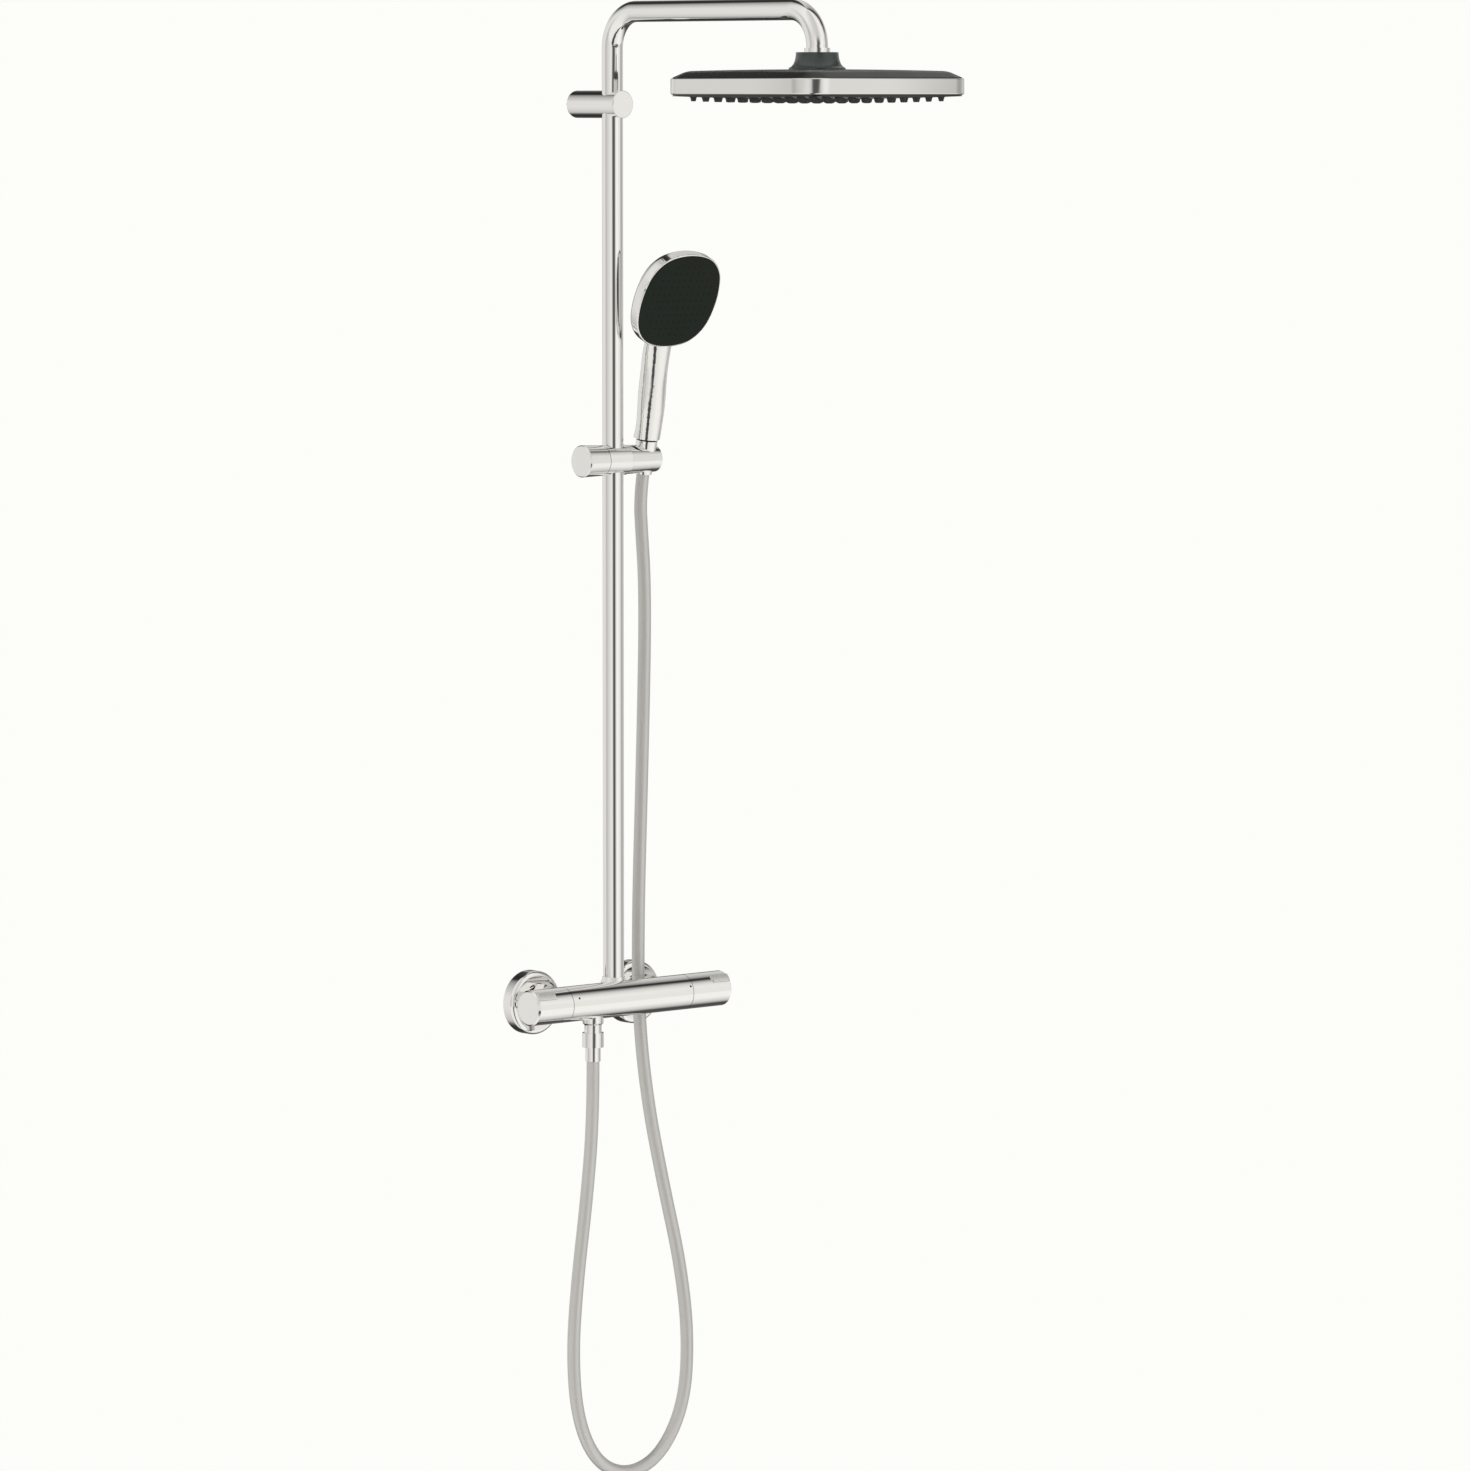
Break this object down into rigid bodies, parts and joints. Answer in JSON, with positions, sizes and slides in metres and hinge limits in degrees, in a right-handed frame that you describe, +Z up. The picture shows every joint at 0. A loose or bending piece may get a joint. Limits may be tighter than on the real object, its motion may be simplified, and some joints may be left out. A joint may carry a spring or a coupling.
{
  "type": "rainfall shower column",
  "caption": "Wall-mounted bar thermostat shower column: riser with sliding hand shower and hose, swivelling arm and a square rain head on a ball joint.",
  "frame": {"origin": "on the wall face, midway between the axes of the two supply threads", "axes": "+X to the viewer's right along the bar mixer, +Y into the wall, +Z up; the room is on -Y"},
  "size_m": [0.2885, 0.539, 1.669],
  "materials": {
    "chrome": "polished chrome on brass",
    "plated_plastic": "polished chrome plating on ABS",
    "brass": "machined",
    "steel": "zinc plated",
    "seal_rubber": "matte",
    "inner_plastic": "moulded",
    "hose_silver": "satin silver",
    "shell_dark": "dark gloss lacquer on ABS",
    "face_dark": "dark gloss",
    "nozzle_silicone": "soft matte"
  },
  "bodies": {
    "column": {"mixer_body": "chrome", "s_union_left": "chrome", "s_union_right": "chrome", "escutcheon_left": "chrome", "escutcheon_right": "chrome", "strainer_washer_left": "seal_rubber", "strainer_washer_right": "seal_rubber", "inlet_nut_left": "chrome", "inlet_nut_right": "chrome", "check_valve_left": "inner_plastic", "check_valve_right": "inner_plastic", "thermostat_cartridge": "inner_plastic", "diverter_cartridge": "inner_plastic", "temperature_stop_ring": "inner_plastic", "hose_nipple": "chrome", "hose_washer": "seal_rubber", "hose_nut": "chrome", "hose_ferrule": "chrome", "shower_hose": "hose_silver", "riser_tube": "chrome", "riser_collar": "chrome", "swivel_spigot": "brass", "swivel_o_rings": "seal_rubber", "bracket_body": "chrome", "bracket_cap": "chrome", "bracket_wall_plug": "inner_plastic", "bracket_wall_screw": "steel"},
    "flow_control": {"flow_handle": "chrome", "flow_spindle": "brass", "flow_handle_screw": "steel", "flow_end_disc": "chrome"},
    "eco_button": {"eco_button": "plated_plastic"},
    "temperature_control": {"temperature_handle": "chrome", "temperature_spindle": "brass", "temperature_handle_screw": "steel", "temperature_end_disc": "chrome"},
    "safety_button": {"safety_button": "plated_plastic"},
    "slider_sleeve": {"clamp_sleeve": "inner_plastic"},
    "slider": {"slider_body": "plated_plastic", "brake_pad": "inner_plastic"},
    "clamp_knob": {"clamp_knob": "plated_plastic"},
    "handset_holder": {"handset_holder": "plated_plastic"},
    "handset": {"hose_cone_nut": "chrome", "handset_washer": "seal_rubber", "handset_shell": "plated_plastic", "handset_face": "face_dark"},
    "arm": {"shower_arm": "chrome", "arm_collar": "chrome", "ball_stud": "brass"},
    "ball_seat": {"ball_seat": "inner_plastic"},
    "rain_head": {"ball_housing": "shell_dark", "ball_retainer": "inner_plastic", "head_top_shell": "shell_dark", "head_rim": "plated_plastic", "spray_plate": "face_dark", "spray_nozzles": "nozzle_silicone"}
  },
  "joints": [
    {"name": "flow_turn", "type": "hinge", "parent": "column", "child": "flow_control", "pos_m": [-0.114, -0.077, 0.0045], "axis": [1, 0, 0], "range_deg": [-90, 90]},
    {"name": "eco_press", "type": "slide", "parent": "flow_control", "child": "eco_button", "axis": [0, 0.7431, -0.6691], "range_m": [0, 0.0015], "stiffness_N_per_m": 600, "springref_m": -0.003},
    {"name": "temperature_turn", "type": "hinge", "parent": "column", "child": "temperature_control", "pos_m": [0.12, -0.077, 0.0045], "axis": [1, 0, 0], "range_deg": [-200, 60]},
    {"name": "safety_press", "type": "slide", "parent": "temperature_control", "child": "safety_button", "axis": [0, 0.7431, -0.6691], "range_m": [0, 0.0015], "stiffness_N_per_m": 600, "springref_m": -0.003},
    {"name": "slider_slide", "type": "slide", "parent": "column", "child": "slider_sleeve", "axis": [0, 0, 1], "range_m": [-0.45, 0.2], "deforming": ["shower_hose"]},
    {"name": "slider_swivel", "type": "hinge", "parent": "slider_sleeve", "child": "slider", "pos_m": [0, -0.062, 0.6115], "axis": [0, 0, 1], "range_deg": [-40, 40], "deforming": ["shower_hose"]},
    {"name": "clamp_knob_turn", "type": "hinge", "parent": "slider", "child": "clamp_knob", "pos_m": [-0.032, -0.062, 0.6115], "axis": [1, 0, 0], "range_deg": [0, 90]},
    {"name": "holder_tilt", "type": "hinge", "parent": "slider", "child": "handset_holder", "pos_m": [0.04, -0.062, 0.6115], "axis": [1, 0, 0], "range_deg": [-4, 20], "deforming": ["shower_hose"]},
    {"name": "handset_lift", "type": "slide", "parent": "handset_holder", "child": "handset", "axis": [0, -0.1736, 0.9848], "range_m": [0, 0.05], "deforming": ["shower_hose"]},
    {"name": "arm_swivel", "type": "hinge", "parent": "column", "child": "arm", "pos_m": [0, -0.062, 1.0245], "axis": [0, 0, 1], "range_deg": [-60, 60]},
    {"name": "head_tilt_fore_aft", "type": "hinge", "parent": "arm", "child": "ball_seat", "pos_m": [0, -0.4, 1.056], "axis": [1, 0, 0], "range_deg": [-15, 15]},
    {"name": "head_tilt_side", "type": "hinge", "parent": "ball_seat", "child": "rain_head", "pos_m": [0, -0.4, 1.056], "axis": [0, 1, 0], "range_deg": [-15, 15]}
  ]
}
